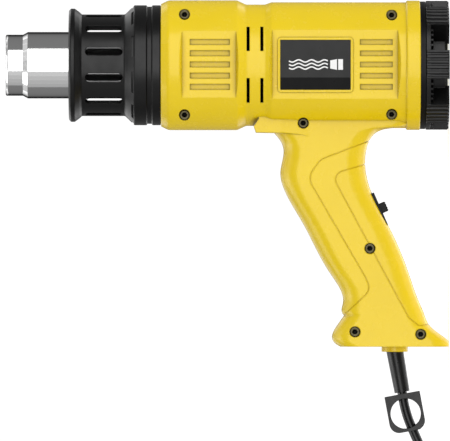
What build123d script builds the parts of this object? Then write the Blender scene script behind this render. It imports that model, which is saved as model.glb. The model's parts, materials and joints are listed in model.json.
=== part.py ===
from build123d import *
import os
from math import cos, pi, radians, sin, tan

# A corded hot-air gun that stands on its tail with the outlet pointing up.
# Millimetres. +Z is the barrel axis towards the outlet, z = 0 is the surface the gun
# stands on, the handle points along -X and the gun's left side faces -Y.

# ---- barrel and handle shells ----
WALL = 2.3
FRONT_R = 37.0
NECK_R = 34.6
BODY_R = 35.9
RIM_R = 36.9
COVER_Z = 13.4
SHELL_Z = 16.4
RIM_TOP_Z = 23.8
BODY_TOP_Z = 101.0
NECK_LOW_Z = 104.6
NECK_TOP_Z = 115.4
FRONT_LOW_Z = 120.6
FRONT_TOP_Z = 159.6
NOSE_Z = 163.9
NOSE_R = 34.9
FRONT_FLAT_Y = 31.8
REAR_FLAT_Y = 30.1
HANDLE_HALF = 17.0
HANDLE_ROUND = 11.0
BASE_X = -160.3
LUG_HALF = 18.2

# Handle cross-sections from the barrel down to the heel: x, front z, rear z.
HANDLE_SECTIONS = [
    (-27.0, 103.2, 22.0),
    (-36.3, 101.0, 35.5),
    (-41.0, 97.3, 43.9),
    (-47.0, 94.2, 46.6),
    (-60.7, 95.8, 47.2),
    (-73.3, 92.6, 43.6),
    (-90.5, 82.8, 34.8),
    (-117.7, 68.1, 23.0),
    (-135.9, 60.2, 16.4),
    (-142.8, 59.6, 13.6),
]
HEEL_SECTIONS = [
    (-142.8, 59.6, 13.6),
    (-148.5, 63.6, 10.6),
    (-153.6, 66.2, 4.4),
    (-157.4, 65.6, -0.2),
    (BASE_X, 61.8, -0.4),
]

# ---- outlet and heat guard ----
TUBE_R = 18.95
SEAT_R = 17.42
TUBE_WALL = 0.8
TUBE_LOW_Z = 118.0
SHOULDER_Z = 239.7
SEAT_Z = 242.5
TIP_Z = 252.3
GUARD_R = 28.97
GUARD_RING_R = 34.2
GUARD_BEAD_R = 32.3
GUARD_TOP_Z = 216.3
GUARD_SLOTS = 12

# ---- screws: x, z and how deep the head sits from the middle plane ----
SCREWS = [
    (28.5, 150.4, 18.6),
    (-28.5, 150.4, 18.6),
    (28.2, 32.7, 17.4),
    (-28.2, 32.7, 17.4),
    (-33.1, 82.9, 13.2),
    (-104.4, 45.0, 14.7),
    (-151.8, 53.5, 14.7),
    (-153.2, 16.1, 14.7),
]
HEAD_R = 2.85
HEAD_H = 1.9
SHANK_R = 1.3
FIT = 0.05

# ---- motor ----
AXLE_R = 1.15
SHAFT_BORE = AXLE_R + FIT

# ---- dial ----
KNOB_R = 36.75
KNOB_TOP_Z = 13.1
LOBES = 7
LOBE_WIDTH = 16.2
HUB_R = 24.5
DIAL_Z = 2.4
SHAFT_R = 3.0

# ---- switch: the plate's middle, and the slope it lies at ----
SWITCH_X = -81.7
SWITCH_Z = 38.65
SWITCH_TILT = 23.8
SWITCH_TRAVEL = 5.0
BEZEL_LENGTH = 20.0
BEZEL_WIDTH = 19.2
WINDOW_LENGTH = 16.4
WINDOW_WIDTH = 15.6

# ---- mains lead ----
CORD_D = 5.5
CORD_LENGTH = 1800.0
CORD_Z = 30.65
CLAMP_X = -146.0
CLAMP_SCREWS_Z = (CORD_Z - 9.0, CORD_Z + 9.0)
RING_CENTRE = (-198.5, 0, 24.5)
RING_TILT = 10.5
RING_HOLE_R = 8.6
RELIEF_START = (-163.5, 0, 30.5)
RELIEF_END = (-186.25, 0, 26.45)
COIL_CENTRE = (-279.5, 31.5)
COIL_MEAN_R = 31.5
COIL_LOW_Z = 3.85
COIL_TOP_Z = 9.45
COIL_TURNS = 8
TURN_PITCH = CORD_D + 0.1
OUTER_TURN_R = COIL_MEAN_R + 1.5 * TURN_PITCH
ENTRY_ANGLE = -78.0
TAIL_R = OUTER_TURN_R - TURN_PITCH / 2
TAIL_STEP = 10.5
TAIL_TURN = 19.2
TAIL_HEIGHTS = [15, 15, 15, 15, 15, 15, 15, 15.5, 16.8, 18.2, 19.5, 20]
LEAD_ROUTE = [
    RELIEF_END,
    (-196.5, 0, 25.2),
    (-213.0, 0.1, 18.2),
    (-234.5, 0.27, 8.4),
    (-252.0, -3.45, COIL_LOW_Z),
    (-271.2, -7.53, COIL_LOW_Z),
]


def lathe(points):
    """A solid of revolution about the barrel axis from (radius, z) points."""
    return revolve(make_face(Plane.XZ * Polyline(*points, close=True)), Axis.Z)


def rounded_lathe(points, rounds):
    """As lathe, with the outline's corners at the given indices rounded."""
    face = make_face(Plane.XZ * Polyline(*points, close=True))
    for index, radius in rounds.items():
        r, z = points[index]
        corner = face.vertices().sort_by_distance((r, 0, z))[0]
        face = fillet(corner, radius)
    return revolve(face, Axis.Z)


def disc(radius, low, high):
    return Pos(0, 0, (low + high) / 2) * Cylinder(radius, high - low)


def ring(inner, outer, low, high):
    return disc(outer, low, high) - disc(inner, low - 1, high + 1)


def across(radius, x, z, low_y, high_y):
    """A cylinder along Y."""
    return Pos(x, (low_y + high_y) / 2, z) * Rot(90, 0, 0) * Cylinder(radius, high_y - low_y)


def block(low, high):
    """A box from its lowest to its highest corner."""
    size = [b - a for a, b in zip(low, high)]
    middle = [(a + b) / 2 for a, b in zip(low, high)]
    return Pos(*middle) * Box(*size)


def around(piece, count, start=0.0):
    """Copies of a piece spaced evenly about the barrel axis."""
    return [Rot(0, 0, start + 360 / count * k) * piece for k in range(count)]


def both_sides(piece):
    return piece + mirror(piece, about=Plane.XZ)


# ---------------------------------------------------------------- housing


def flat_cutter(outline, inset, width):
    """Cuts a flat panel into both sides of the barrel. Its outline is (y, z) points."""
    points = [(y - inset, z) for y, z in outline]
    cutter = extrude(make_face(Plane.YZ * Polyline(*points, close=True)), 24, both=True)
    low, high = min(z for _, z in outline), max(z for _, z in outline)
    plan = Pos(0, (low + high) / 2) * RectangleRounded(width, high - low, 5)
    return both_sides(cutter & extrude(Plane.XZ * plan, 60, both=True))


def panel_flats(inset):
    front = [
        (FRONT_FLAT_Y, 151.8),
        (FRONT_FLAT_Y, FRONT_LOW_Z + 0.6),
        (44.0, FRONT_LOW_Z - 2.6),
        (44.0, 155.0),
    ]
    rear = [
        (REAR_FLAT_Y, 29.4),
        (REAR_FLAT_Y, BODY_TOP_Z - 0.4),
        (44.0, BODY_TOP_Z + 3.2),
        (44.0, 25.6),
    ]
    return flat_cutter(front, inset, 41.0) + flat_cutter(rear, inset, 42.5)


def barrel_skin():
    points = [
        (0, SHELL_Z),
        (RIM_R, SHELL_Z),
        (RIM_R, RIM_TOP_Z),
        (BODY_R, RIM_TOP_Z + 0.7),
        (BODY_R, BODY_TOP_Z),
        (NECK_R, NECK_LOW_Z),
        (NECK_R, NECK_TOP_Z),
        (FRONT_R, FRONT_LOW_Z),
        (FRONT_R, FRONT_TOP_Z),
        (NOSE_R, NOSE_Z),
        (0, NOSE_Z),
    ]
    rounds = {1: 0.5, 2: 0.6, 4: 3.0, 5: 3.0, 6: 3.0, 7: 3.0, 8: 5.0, 9: 0.8}
    return rounded_lathe(points, rounds) - panel_flats(0)


def barrel_cavity():
    points = [
        (0, SHELL_Z - 1),
        (RIM_R - WALL, SHELL_Z - 1),
        (RIM_R - WALL, RIM_TOP_Z - 1),
        (BODY_R - WALL, RIM_TOP_Z),
        (BODY_R - WALL, BODY_TOP_Z),
        (NECK_R - WALL, NECK_LOW_Z),
        (NECK_R - WALL, NECK_TOP_Z),
        (FRONT_R - WALL, FRONT_LOW_Z),
        (FRONT_R - WALL, FRONT_TOP_Z - 1),
        (NOSE_R - WALL, NOSE_Z - WALL),
        (0, NOSE_Z - WALL),
    ]
    return lathe(points) - panel_flats(WALL)


def handle_section(x, front, rear, inset):
    """A rounded rectangle across the handle at one x."""
    length = front - rear - 2 * inset
    half = HANDLE_HALF - inset
    plane = Plane(origin=(x, 0, (front + rear) / 2), x_dir=(0, 0, 1), z_dir=(-1, 0, 0))
    return plane * RectangleRounded(length, 2 * half, HANDLE_ROUND - inset)


def handle_solid(inset):
    grip = loft([handle_section(*section, inset) for section in HANDLE_SECTIONS])
    heel = loft([handle_section(*section, inset) for section in HEEL_SECTIONS])
    solid = grip + heel
    if inset > 1:
        return solid - block((BASE_X - 5, -30, -10), (BASE_X + WALL + 0.3, 30, 90))
    return solid & block((BASE_X - 5, -30, 0), (0, 30, 120))


def lug():
    """The ridge under the barrel in front of the handle, which fades out behind it."""
    points = [
        (-26.0, 108.2),
        (-30.7, 108.2),
        (-34.8, 111.0),
        (-38.4, 109.8),
        (-38.7, 93.0),
        (-39.6, 84.0),
        (-41.6, 75.0),
        (-26.0, 75.0),
    ]
    width = [(0, 112), (LUG_HALF, 112), (LUG_HALF, 96), (HANDLE_HALF - 0.1, 78), (0, 70)]
    ridge = extrude(make_face(Plane.XZ * Polyline(*points, close=True)), 20, both=True)
    taper = extrude(make_face(Plane.YZ * Polyline(*width, close=True)), 50, both=True)
    return ridge & both_sides(taper)


def grip_lines():
    """Two shallow lines that frame the grip on each side of the handle."""
    upper = FilletPolyline(
        (-40.0, 37.0), (-53.8, 73.0), (-64.0, 80.5), (-121.0, 47.4), (-128.0, 44.6), (-145.0, 62.5),
        radius=[8, 8, 6, 6],
    )
    lower = FilletPolyline(
        (-53.5, 38.0), (-62.3, 66.8), (-77.6, 58.6), (-143.7, 23.0), (-148.5, 17.0), (-147.0, 8.0),
        radius=[5, 40, 4, 3],
    )
    ribbons = [trace(line, line_width=0.55) for line in (upper, lower)]
    return [Plane.XZ * extrude(ribbon, 30, both=True) for ribbon in ribbons]


def grooved(handle):
    """Cuts the grip lines 0.35 mm deep into the handle's skin."""
    for line in grip_lines():
        handle = handle - ((line & handle) - handle_solid(0.35))
    return handle


def side_slots():
    """Five shallow slots on each side panel, front and rear."""
    slots = []
    for y, low, high, height in ((FRONT_FLAT_Y, 124.7, 147.3, 3.3), (REAR_FLAT_Y, 32.3, 50.8, 3.1)):
        for k in range(-2, 3):
            x = 6.35 * k
            slots.append(block((x - height / 2, y - 1.1, low), (x + height / 2, y + 3, high)))
    return both_sides(Part() + slots)


def neck_vents():
    vents = []
    for z in (106.5, 114.3):
        for low, high in ((7.6, 21.4), (-21.6, -7.8)):
            vents.append(block((low, 22, z - 0.85), (high, 44, z + 0.85)))
    return both_sides(Part() + vents)


def plate_frame():
    """The raised frame round each side's plate, and the pocket the plate lies in."""
    outer = block((-15.8, REAR_FLAT_Y - 1, 54.7), (15.4, REAR_FLAT_Y + 0.5, 97.5))
    outer = fillet(outer.edges().filter_by(Axis.Y), 2.0)
    pocket = block((-14.4, REAR_FLAT_Y - 0.9, 56.1), (14.0, REAR_FLAT_Y + 3, 96.1))
    return both_sides(outer), both_sides(pocket)


def screw_posts():
    return Part() + [across(4.1, x, z, -seat - 2.4, seat + 1.5) for x, z, seat in SCREWS]


def screw_holes():
    holes = []
    for x, z, seat in SCREWS:
        holes.append(across(3.15, x, z, -seat - 20, -seat))
        holes.append(across(SHANK_R + 0.35, x, z, -seat - 1, 0))
        holes.append(across(SHANK_R + FIT, x, z, 0, 11.5))
    return holes


def inner_ribs():
    """Rings inside the shell that locate the fan duct and the front of the heater."""
    duct_rib = ring(27.7, 34.6, 92.0, 94.0)
    front_rib = ring(27.8, 36.0, 153.2, 155.2)
    return duct_rib + front_rib


def switch_frame(along, out, side=0.0):
    """A place on the switch: along its travel, out of the handle, and sideways."""
    c = cos(radians(SWITCH_TILT))
    s = sin(radians(SWITCH_TILT))
    x = SWITCH_X - c * along + s * out
    z = SWITCH_Z - s * along - c * out
    return Pos(x, side, z) * Rot(0, -SWITCH_TILT, 0)


def switch_block(along, across_width, out):
    """A box in the switch's own directions from (low, high) pairs."""
    size = (along[1] - along[0], across_width, out[1] - out[0])
    return switch_frame(sum(along) / 2, sum(out) / 2) * Box(*size)


def housing():
    frame, pocket = plate_frame()
    skin = barrel_skin() + grooved(handle_solid(0)) + lug()
    collar = Pos(BASE_X - 1.25, 0, CORD_Z) * Rot(0, 90, 0) * Cylinder(7.5, 3.5)
    cavity = barrel_cavity() + handle_solid(WALL)
    inside = (screw_posts() + inner_ribs()) & (barrel_cavity() + handle_solid(WALL - 0.6))
    shell = (skin + frame + collar) - cavity + inside
    shell -= disc(31.0, NOSE_Z - 5, NOSE_Z + 1)
    shell = shell - pocket - side_slots() - neck_vents() - screw_holes()
    shell -= Pos(BASE_X, 0, CORD_Z) * Rot(0, 90, 0) * Cylinder(5.1, 12)
    window = (-BEZEL_LENGTH / 2 - 0.1, BEZEL_LENGTH / 2 + 0.1)
    shell -= switch_block(window, BEZEL_WIDTH + 0.2, (-4.5, 6))
    left = shell & block((-200, -60, -1), (60, 0, 200))
    right = shell & block((-200, 0, -1), (60, 60, 200))
    for z in CLAMP_SCREWS_Z:
        post = across(3.0, CLAMP_X, z, -2.7, 14.9)
        right = right + post - across(1.2 + FIT, CLAMP_X, z, -4, 8)
    return left, right


def screws():
    socket = extrude(RegularPolygon(1.45, 6), 1.5)
    pieces = []
    for x, z, seat in SCREWS:
        head = across(HEAD_R, x, z, -seat - HEAD_H, -seat)
        head = fillet(head.edges().sort_by(Axis.Y)[0], 0.5)
        shank = across(SHANK_R, x, z, -seat, 10.5)
        recess = Pos(x, -seat - HEAD_H, z) * Rot(-90, 0, 0) * socket
        pieces.append(head + shank - recess)
    return pieces


# ---------------------------------------------------------------- nose


def heat_guard():
    points = [
        (27.6, 157.7),
        (32.0, 157.7),
        (32.0, 161.4),
        (30.8, 161.4),
        (30.8, 164.0),
        (GUARD_RING_R, 164.0),
        (GUARD_RING_R, 168.7),
        (33.4, 169.2),
        (33.4, 171.6),
        (GUARD_RING_R, 172.1),
        (GUARD_RING_R, 179.0),
        (GUARD_R, 184.4),
        (GUARD_R, 208.9),
        (30.2, 210.2),
        (GUARD_BEAD_R, 213.0),
        (GUARD_BEAD_R, 215.2),
        (31.0, GUARD_TOP_Z),
        (26.9, GUARD_TOP_Z),
        (26.2, 215.4),
        (26.2, 181.0),
        (19.35, 181.0),
        (19.35, 178.0),
        (27.6, 178.0),
    ]
    rounds = {5: 0.6, 6: 0.4, 9: 0.4, 10: 1.2, 11: 1.5, 13: 2.0, 14: 1.2, 15: 0.9, 16: 0.5}
    guard = rounded_lathe(points, rounds)
    slot = Plane.XZ * SlotOverall(21.4, 5.0, rotation=90)
    slot = Pos(0, 0, 196.2) * extrude(slot, 50)
    slot -= block((-10, -20, 150), (10, 20, 250))
    guard -= around(slot, GUARD_SLOTS, 15)
    vent = block((21.3, -2, 170), (25.3, 2, 190))
    guard -= around(vent, 12, 0)
    groove = revolve(Plane.XZ * Pos(34.0, 180.0) * Rectangle(3.0, 1.2), Axis.Z, revolution_arc=22)
    return guard - around(groove, 10, -83)


def outlet_tube():
    w = TUBE_WALL
    points = [
        (TUBE_R - w, TUBE_LOW_Z),
        (TUBE_R, TUBE_LOW_Z),
        (TUBE_R, 174.6),
        (26.0, 174.6),
        (26.0, 175.6),
        (TUBE_R, 175.6),
        (TUBE_R, SHOULDER_Z),
        (SEAT_R, SEAT_Z),
        (SEAT_R, TIP_Z - 0.5),
        (SEAT_R - 0.5, TIP_Z),
        (SEAT_R - 1.9, TIP_Z),
        (SEAT_R - 1.9, TIP_Z - 0.9),
        (SEAT_R - w, TIP_Z - 1.5),
        (SEAT_R - w, SEAT_Z),
        (TUBE_R - w, SHOULDER_Z),
    ]
    return lathe(points)


def heater_core():
    core = disc(16.9, 128, 232)
    core -= around(Pos(11.6, 0, 180) * Cylinder(2.5, 120), 10)
    core -= around(Pos(5.0, 0, 180) * Cylinder(1.3, 120), 5)
    return core


def heating_element():
    return around(Pos(11.6, 0, 180) * Cylinder(2.1, 107), 10)


def terminal_disc():
    plate = disc(17.6, 120.2, 122.0)
    return plate - around(Pos(11.6, 0, 121) * Cylinder(2.6, 4), 10)


# ---------------------------------------------------------------- fan and motor


def fan_duct():
    points = [
        (26.0, 82.2),
        (27.5, 82.2),
        (27.5, 100.0),
        (20.6, 117.0),
        (20.6, 123.0),
        (19.15, 123.0),
        (19.15, 117.0),
        (26.0, 99.6),
    ]
    return lathe(points)


def impeller():
    hub = disc(5.6, 84.6, 99.0)
    back = disc(24.6, 84.6, 86.0)
    blade = Pos(14.8, 0, 92.3) * Rot(24, 0, 0) * Box(19.6, 1.3, 13.0)
    blades = Part() + around(blade, 11)
    trimmed = blades & ring(5.0, 24.6, 85.5, 98.4)
    return hub + back + trimmed - disc(SHAFT_BORE, 80, 110)


def motor_bracket():
    plate = disc(27.5, 80.3, 82.1) - disc(4.2, 79, 84)
    window = ring(14.6, 25.0, 79, 84) & (Pos(20, 0, 81) * Box(30, 17, 10))
    plate -= around(window, 5, 36)
    return plate - [Pos(0, y, 81) * Cylinder(1.6, 6) for y in (-8.0, 8.0)]


def motor_screws():
    pieces = []
    for y in (-8.0, 8.0):
        head = Pos(0, y, 82.8) * Cylinder(2.4, 1.3)
        shank = Pos(0, y, 79.9) * Cylinder(1.45, 4.5)
        pieces.append(head + shank)
    return pieces


def motor_can():
    can = ring(12.9, 13.9, 46.0, 80.2) + disc(13.9, 78.6, 80.2)
    can -= disc(SHAFT_BORE, 70, 84)
    return can - [Pos(0, y, 79) * Cylinder(1.5, 6) for y in (-8.0, 8.0)]


def motor_end_cap():
    cap = disc(13.9, 42.6, 46.0) - disc(SHAFT_BORE, 40, 50)
    lugs = [block((-1.5, y - 0.4, 38.6), (1.5, y + 0.4, 42.6)) for y in (-9.0, 9.0)]
    return cap + lugs


def motor_magnets():
    wedge = block((0, -9.5, 48), (14, 9.5, 76))
    arc = ring(10.4, 12.85, 50.0, 74.0) & wedge
    return [arc, Rot(0, 0, 180) * arc]


def motor_armature():
    stack = disc(9.4, 53, 71)
    slot = block((5.0, -1.1, 50), (12, 1.1, 75))
    stack -= around(slot, 5)
    windings = disc(6.4, 50.6, 73.4)
    commutator = disc(3.6, 47.2, 50.6)
    return stack + windings + commutator - disc(SHAFT_BORE, 40, 80)


# ---------------------------------------------------------------- tail and dial


def rear_cover():
    cover = disc(36.4, COVER_Z, SHELL_Z) + ring(32.4, 34.4, SHELL_Z, 22.0)
    cover -= disc(3.7, 10, 20)
    vent = block((17.0, -1.3, 10), (30.5, 1.3, 20))
    return cover - around(vent, 20)


def knob():
    hub = disc(HUB_R, DIAL_Z, KNOB_TOP_Z) + disc(36.2, 10.6, KNOB_TOP_Z)
    rim = [
        (HUB_R - 1.4, 0),
        (KNOB_R - 0.8, 0),
        (KNOB_R, 0.9),
        (KNOB_R, KNOB_TOP_Z - 0.4),
        (KNOB_R - 0.4, KNOB_TOP_Z),
        (HUB_R - 1.4, KNOB_TOP_Z),
    ]
    lobe = lathe(rim) & block((10, -LOBE_WIDTH / 2, -1), (40, LOBE_WIDTH / 2, 14))
    for radius in (26.6, 29.2, 31.8, 34.4):
        lobe -= ring(radius - 0.55, radius + 0.55, -1, 0.9)
    for angle in (-9.6, -4.8, 0, 4.8, 9.6):
        lobe -= Rot(0, 0, angle) * Pos(KNOB_R + 0.25, 0, 5) * Cylinder(0.95, 20)
    body = hub + around(lobe, LOBES, -90)
    teeth = []
    for k in range(LOBES):
        middle = -90 + 360 / LOBES * (k + 0.5)
        for offset in (-7.5, -2.5, 2.5, 7.5):
            teeth.append(Rot(0, 0, middle + offset) * block((29.5, -0.55, 9.2), (35.6, 0.55, 10.8)))
    body = body + teeth
    body -= disc(21.5, 0, 3.7)
    body -= ring(22.4, 23.0, 0, 3.0)
    body -= disc(12.0, 8.5, 15)
    boss = disc(5.2, 8.0, 10.9)
    return body + boss - disc(SHAFT_R + FIT, 5.4, 15)


def knob_face():
    face = disc(21.3, DIAL_Z, 3.6)
    return fillet(face.edges().sort_by(Axis.Z)[0], 0.3)


def pot_shaft():
    return disc(SHAFT_R, 5.6, 24.0)


def potentiometer():
    body = disc(8.2, SHELL_Z, 25.4) + disc(3.5, 11.3, SHELL_Z)
    return body - disc(SHAFT_R + FIT, 10, 24.6)


def pot_nut():
    nut = extrude(RegularPolygon(5.6, 6), 1.6)
    return Pos(0, 0, COVER_Z - 1.6) * nut - disc(3.5 + FIT, 10, 15)


def control_board():
    board = block((-20, -21, 26.4), (20, 21, 28.0))
    return board - [Pos(x, y, 27) * Cylinder(1.6, 4) for x in (-17, 17) for y in (-18, 18)]


def heat_sink():
    base = block((3.5, 9, 28.0), (17.5, 11, 40.0))
    fins = [block((x, 11, 28.0), (x + 1.2, 17, 40.0)) for x in (3.5, 7.7, 11.9, 16.3)]
    return base + fins


def capacitor():
    body = block((-12, -17, 28.0), (4, -9.5, 39.0))
    return fillet(body.edges().filter_by(Axis.Z), 1.2)


# ---------------------------------------------------------------- switch


def switch_bezel():
    half = BEZEL_LENGTH / 2
    plate = switch_block((-half, half), BEZEL_WIDTH, (-3.4, 0))
    window = (-WINDOW_LENGTH / 2, WINDOW_LENGTH / 2)
    return plate - switch_block(window, WINDOW_WIDTH, (-5, 2))


def switch_label():
    window = (-WINDOW_LENGTH / 2 + 0.1, WINDOW_LENGTH / 2 - 0.1)
    plate = switch_block(window, WINDOW_WIDTH - 0.2, (-3.3, -2.3))
    stem_slot = (-SWITCH_TRAVEL - 1.9, SWITCH_TRAVEL + 1.9)
    return plate - switch_block(stem_slot, 3.0, (-5, 0))


def switch_slider():
    button = switch_block((-2.9, 2.9), WINDOW_WIDTH - 0.8, (-2.0, 3.7))
    button = fillet(button.edges().filter_by(Axis.Y).sort_by(Axis.Z)[:2], 0.8)
    for along in (-1.6, 0.0, 1.6):
        button -= switch_frame(along, 3.9) * Rot(90, 0, 0) * Cylinder(0.42, 30)
    return button + switch_block((-1.4, 1.4), 2.4, (-6.5, -1.9))


def switch_body():
    body = switch_block((-11.0, 11.0), 16.6, (-17.0, -3.6))
    trough = (-SWITCH_TRAVEL - 2.0, SWITCH_TRAVEL + 2.0)
    return body - switch_block(trough, 3.2, (-7.5, 0))


# ---------------------------------------------------------------- cable entry


def strain_relief():
    start = Vector(*RELIEF_START)
    end = Vector(*RELIEF_END)
    length = (end - start).length
    axis = Plane(origin=start, z_dir=end - start)
    cone = axis * Pos(0, 0, length / 2) * Cone(4.85, 4.35, length)
    root = Pos(-158.0, 0, CORD_Z) * Rot(0, 90, 0) * Cylinder(4.85, 11.0)
    knuckle = Pos(*RELIEF_START) * Sphere(4.85)
    flange = Pos(-156.4, 0, CORD_Z) * Rot(0, 90, 0) * Cylinder(7.2, 2.2)
    return cone + root + knuckle + flange


def ring_place(shape):
    """Puts a shape drawn upright about the ring's hole at the ring's own tilt."""
    return Pos(*RING_CENTRE) * Rot(0, 90 - RING_TILT, 0) * shape


def hang_ring():
    """A flat loop in front of the cord, with a collar round the cord behind each bar."""
    plate = block((-10.2, -6.4, -10.3), (10.2, -3.6, 11.4))
    far_corners = plate.edges().filter_by(Axis.Y).sort_by(Axis.Z)[:2]
    plate = fillet(far_corners, 5.5)
    near_corners = plate.edges().filter_by(Axis.Y).sort_by(Axis.Z)[-2:]
    plate = ring_place(fillet(near_corners, 0.5))
    bore = ring_place(Rot(90, 0, 0) * Cylinder(RING_HOLE_R, 30))
    bars = ring_place(block((-10.2, -6, -10.3), (10.2, 6, 11.3)))
    collars = (tube_solid(LEAD_ROUTE, 4.5) & bars) - bore
    return (plate - bore) + collars - tube_solid(LEAD_ROUTE, CORD_D / 2 + 0.5)


def cable_clamp():
    bar = block((CLAMP_X - 3.5, -6.4, CORD_Z - 12.5), (CLAMP_X + 3.5, -2.8, CORD_Z + 12.5))
    return bar - [across(1.5, CLAMP_X, z, -10, 0) for z in CLAMP_SCREWS_Z]


def clamp_screws():
    pieces = []
    for z in CLAMP_SCREWS_Z:
        pieces.append(across(2.3, CLAMP_X, z, -8.0, -6.4) + across(1.2, CLAMP_X, z, -6.4, 7.0))
    return pieces


def cord_inside():
    return Pos(-146.5, 0, CORD_Z) * Rot(0, 90, 0) * Cylinder(CORD_D / 2 - 0.02, 12.0)


def mains_leads():
    """Two insulated conductors from the cord to the switch."""
    pieces = []
    for y in (-1.4, 1.4):
        points = [
            (-140.2, y, CORD_Z),
            (-128, y, CORD_Z + 1.5),
            (-112, 3 * y, 34.5),
            (-103.5, 3 * y, 37.0),
            (-95.3, 3 * y, 40.8),
        ]
        pieces.append(tube_solid(points, 1.1))
    return pieces


def motor_leads():
    """Two insulated conductors from the switch to the control board."""
    pieces = []
    for y in (-4.2, 4.2):
        points = [(-75.8, y, 53.3), (-58, y, 61), (-40, y, 52), (-24, y, 38.5), (-18, y, 29.4)]
        pieces.append(tube_solid(points, 1.1))
    return pieces


# ---------------------------------------------------------------- cord


def corner_radii(points):
    """Each bend is as large as its two runs allow."""
    places = [Vector(*p) for p in points]
    radii = []
    for before, here, after in zip(places, places[1:], places[2:]):
        run = min((here - before).length, (after - here).length)
        turn = (here - before).get_angle(after - here)
        radii.append(0.45 * run / tan(radians(turn / 2)))
    return radii


def tube_solid(points, radius):
    path = FilletPolyline(*points, radius=corner_radii(points))
    section = Plane(origin=path @ 0, z_dir=path % 0) * Circle(radius)
    return sweep(section, path)


def cord_tube(name, points):
    radii = corner_radii(points)
    path = FilletPolyline(*points, radius=radii)
    solid = tube_solid(points, CORD_D / 2)
    expected = pi * CORD_D**2 / 4 * path.length
    print(name, "radii", [round(r, 1) for r in radii], "length", round(path.length, 1))
    print(name, "volume", round(solid.volume), "section times length", round(expected))
    return solid, path.length


def tail_route():
    """From the top of the coil round to the plug, turning a little at each point."""
    angle = radians(ENTRY_ANGLE)
    x = COIL_CENTRE[0] + TAIL_R * cos(angle)
    y = COIL_CENTRE[1] + TAIL_R * sin(angle)
    heading = angle - pi / 2
    points = [(x, y, TAIL_HEIGHTS[0])]
    for height in TAIL_HEIGHTS[1:]:
        x += TAIL_STEP * cos(heading)
        y += TAIL_STEP * sin(heading)
        points.append((x, y, height))
        heading -= radians(TAIL_TURN)
    return points


def coil_reach():
    """Inner and outer radius and top of the coil's two layers of four turns."""
    outer = OUTER_TURN_R + CORD_D / 2 + 0.15
    inner = 2 * COIL_MEAN_R - outer
    top = COIL_TOP_Z + CORD_D / 2 + 0.15
    return inner, outer, top


def cord_coil():
    """The stacked turns as one ring."""
    inner, outer, top = coil_reach()
    coil = ring(inner, outer, 1.0, top)
    coil = fillet(coil.edges(), 2.4)
    return Pos(COIL_CENTRE[0], COIL_CENTRE[1], 0) * coil


def tie_outline(gap):
    """The strap's outline about the turns and the cord on top of them, as (radius, z)."""
    inner, outer, top = coil_reach()
    return [
        (inner - 0.8 - gap, 0.9 - gap),
        (outer + 0.2 + gap, 0.9 - gap),
        (outer + 0.2 + gap, top - 0.6 + gap),
        (TAIL_R + 2.6 + gap, TAIL_HEIGHTS[0] + 3.4 + gap),
        (TAIL_R - 4.4 - gap, TAIL_HEIGHTS[0] + 3.4 + gap),
        (inner - 0.8 - gap, top + 0.3 + gap),
    ]


def cord_tie():
    """A strap round the coil at its far side."""
    inside, outside = [make_face(Plane.XZ * Polyline(*tie_outline(g), close=True)) for g in (0, 0.9)]
    strap = extrude(outside, 5, both=True) - extrude(inside, 6, both=True)
    return Pos(COIL_CENTRE[0], COIL_CENTRE[1], 0) * Rot(0, 0, 180) * strap


def plug_frame():
    return Plane(origin=tail_route()[-1], x_dir=(0, 1, 0), z_dir=(1, 0, 0))


def plug_body():
    sleeve = Pos(0, 0, 8) * Cone(3.9, 5.6, 16)
    body = loft([
        Pos(0, 0, 13) * RectangleRounded(13, 11, 4.5),
        Pos(0, 0, 22) * RectangleRounded(24, 14.2, 5.5),
        Pos(0, 0, 40) * RectangleRounded(25.5, 14.6, 5.0),
    ])
    pins = [Pos(x, 0, 38) * Box(1.6, 6.5, 10) for x in (-6.35, 6.35)]
    return plug_frame() * (sleeve + body - pins)


def plug_blades():
    blades = []
    for x in (-6.35, 6.35):
        blade = Pos(x, 0, 45.0) * Box(1.5, 6.35, 23.6)
        blade -= Pos(x, 0, 53.0) * Rot(0, 90, 0) * Cylinder(1.5, 4)
        blades.append(plug_frame() * blade)
    return blades


# ---------------------------------------------------------------- assembly


def plates():
    """The name plate on the left and the blank rating plate on the right."""
    plate = block((-14.3, REAR_FLAT_Y - 0.85, 56.2), (13.9, REAR_FLAT_Y + 0.2, 96.0))
    plate = fillet(plate.edges().filter_by(Axis.Y), 0.8)
    return mirror(plate, about=Plane.XZ), plate


def write(name, shape):
    pieces = list(shape) if isinstance(shape, (list, tuple)) else shape.solids()
    if len(pieces) == 1:
        result = pieces[0] if isinstance(pieces[0], Solid) else pieces[0].solid()
    else:
        result = Compound(children=[p if isinstance(p, Solid) else p.solid() for p in pieces])
    result.label = name
    export_step(result, f"parts/{name}.step")


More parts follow.
